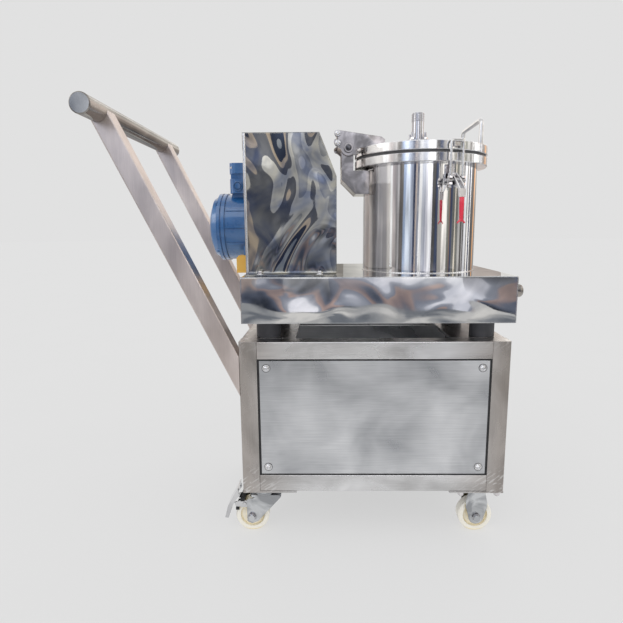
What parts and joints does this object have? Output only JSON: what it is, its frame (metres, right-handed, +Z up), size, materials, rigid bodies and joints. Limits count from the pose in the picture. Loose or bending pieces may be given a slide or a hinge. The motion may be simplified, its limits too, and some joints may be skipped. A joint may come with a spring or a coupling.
{
  "type": "filter centrifuge on a push cart",
  "caption": "Small basket filter centrifuge with a hinged, latched lid and a guarded motor, on a rubber-mounted deck over a square-tube push cart with swivel casters.",
  "frame": {"origin": "on the floor, at the middle of the machine's overall length and width", "axes": "+Z up; +X from the push handle towards the round vessel; +Y away from someone who faces the front panel with the push handle on their left"},
  "size_m": [0.9384, 0.562, 1.0067],
  "materials": {
    "brushed_stainless": "satin brushed, light scratches",
    "mirror_stainless": "polished stainless sheet",
    "machined_steel": "turned stainless",
    "zinc_steel": "bright zinc plated pressing",
    "blue_paint": "gloss enamel on cast aluminium",
    "orange_paint": "satin enamel",
    "black_rubber": "matt moulded",
    "cream_nylon": "moulded",
    "red_plastic": "dipped grip",
    "white_gasket": "matt silicone"
  },
  "bodies": {
    "cart": {"frame_posts": "brushed_stainless", "frame_long_rails": "brushed_stainless", "frame_side_rails": "brushed_stainless", "frame_end_plates": "brushed_stainless", "front_panel": "brushed_stainless", "rear_panel": "brushed_stainless", "side_panels": "brushed_stainless", "panel_tabs": "brushed_stainless", "caster_pads": "brushed_stainless", "rubber_mounts": "black_rubber", "deck_shell": "mirror_stainless", "deck_mount_plates": "brushed_stainless", "outlet_stub": "machined_steel", "guard_cover": "mirror_stainless", "motor_body": "blue_paint", "motor_end_cover": "blue_paint", "terminal_box": "blue_paint", "motor_blocks": "orange_paint", "vessel_shell": "mirror_stainless", "vessel_flange": "machined_steel", "vessel_gasket": "white_gasket", "hinge_bracket": "mirror_stainless", "hinge_pin": "machined_steel", "latch_bases": "brushed_stainless", "handle_tubes": "brushed_stainless", "handle_bar": "brushed_stainless", "handle_caps": "brushed_stainless", "basket": "brushed_stainless", "basket_hub": "machined_steel", "drive_shaft": "machined_steel", "bearing_housing": "machined_steel", "fixed_forks": "zinc_steel", "fixed_axles": "zinc_steel", "swivel_plates": "zinc_steel"},
    "lid": {"lid_plate": "mirror_stainless", "feed_nozzle": "machined_steel", "lid_handle": "mirror_stainless", "hinge_arms": "mirror_stainless", "latch_catches": "brushed_stainless"},
    "lever_front": {"latch_lever_front": "zinc_steel", "latch_grip_front": "red_plastic"},
    "lever_rear": {"latch_lever_rear": "zinc_steel", "latch_grip_rear": "red_plastic"},
    "hook_front": {"latch_hook_front": "zinc_steel"},
    "hook_rear": {"latch_hook_rear": "zinc_steel"},
    "swivel_front": {"swivel_fork_front": "zinc_steel", "swivel_axle_front": "zinc_steel", "brake_pedal_front": "zinc_steel"},
    "swivel_rear": {"swivel_fork_rear": "zinc_steel", "swivel_axle_rear": "zinc_steel", "brake_pedal_rear": "zinc_steel"},
    "wheel_left_front": {"wheel_left_front": "cream_nylon"},
    "wheel_left_rear": {"wheel_left_rear": "cream_nylon"},
    "wheel_right_front": {"wheel_right_front": "cream_nylon"},
    "wheel_right_rear": {"wheel_right_rear": "cream_nylon"}
  },
  "joints": [
    {"name": "lid_hinge", "type": "hinge", "parent": "cart", "child": "lid", "pos_m": [0.07375, 0, 0.91], "axis": [0, -1, 0], "range_deg": [0, 95]},
    {"name": "lever_front_pivot", "type": "hinge", "parent": "cart", "child": "lever_front", "pos_m": [0.29922, -0.14456, 0.836], "axis": [-0.9511, -0.309, 0], "range_deg": [0, 30]},
    {"name": "hook_front_pivot", "type": "hinge", "parent": "lever_front", "child": "hook_front", "pos_m": [0.30416, -0.15978, 0.824], "axis": [0.9511, 0.309, 0], "range_deg": [0, 155]},
    {"name": "lever_rear_pivot", "type": "hinge", "parent": "cart", "child": "lever_rear", "pos_m": [0.29922, 0.14456, 0.836], "axis": [0.9511, -0.309, 0], "range_deg": [0, 30]},
    {"name": "hook_rear_pivot", "type": "hinge", "parent": "lever_rear", "child": "hook_rear", "pos_m": [0.30416, 0.15978, 0.824], "axis": [-0.9511, 0.309, 0], "range_deg": [0, 155]},
    {"name": "swivel_front_turn", "type": "hinge", "parent": "cart", "child": "swivel_front", "pos_m": [-0.13025, -0.16, 0.1], "axis": [0, 0, 1], "continuous": true},
    {"name": "wheel_left_front_spin", "type": "hinge", "parent": "swivel_front", "child": "wheel_left_front", "pos_m": [-0.16025, -0.16, 0.04], "axis": [0, 1, 0], "continuous": true},
    {"name": "wheel_right_front_spin", "type": "hinge", "parent": "cart", "child": "wheel_right_front", "pos_m": [0.37575, -0.16, 0.04], "axis": [0, 1, 0], "continuous": true},
    {"name": "swivel_rear_turn", "type": "hinge", "parent": "cart", "child": "swivel_rear", "pos_m": [-0.13025, 0.16, 0.1], "axis": [0, 0, 1], "continuous": true},
    {"name": "wheel_left_rear_spin", "type": "hinge", "parent": "swivel_rear", "child": "wheel_left_rear", "pos_m": [-0.16025, 0.16, 0.04], "axis": [0, 1, 0], "continuous": true},
    {"name": "wheel_right_rear_spin", "type": "hinge", "parent": "cart", "child": "wheel_right_rear", "pos_m": [0.37575, 0.16, 0.04], "axis": [0, 1, 0], "continuous": true}
  ],
  "couplings": [
    {"joint": "lever_front_pivot", "follows": "lid_hinge", "ratio": 0.31579},
    {"joint": "hook_front_pivot", "follows": "lid_hinge", "ratio": 1.6316},
    {"joint": "lever_rear_pivot", "follows": "lid_hinge", "ratio": 0.31579},
    {"joint": "hook_rear_pivot", "follows": "lid_hinge", "ratio": 1.6316}
  ]
}
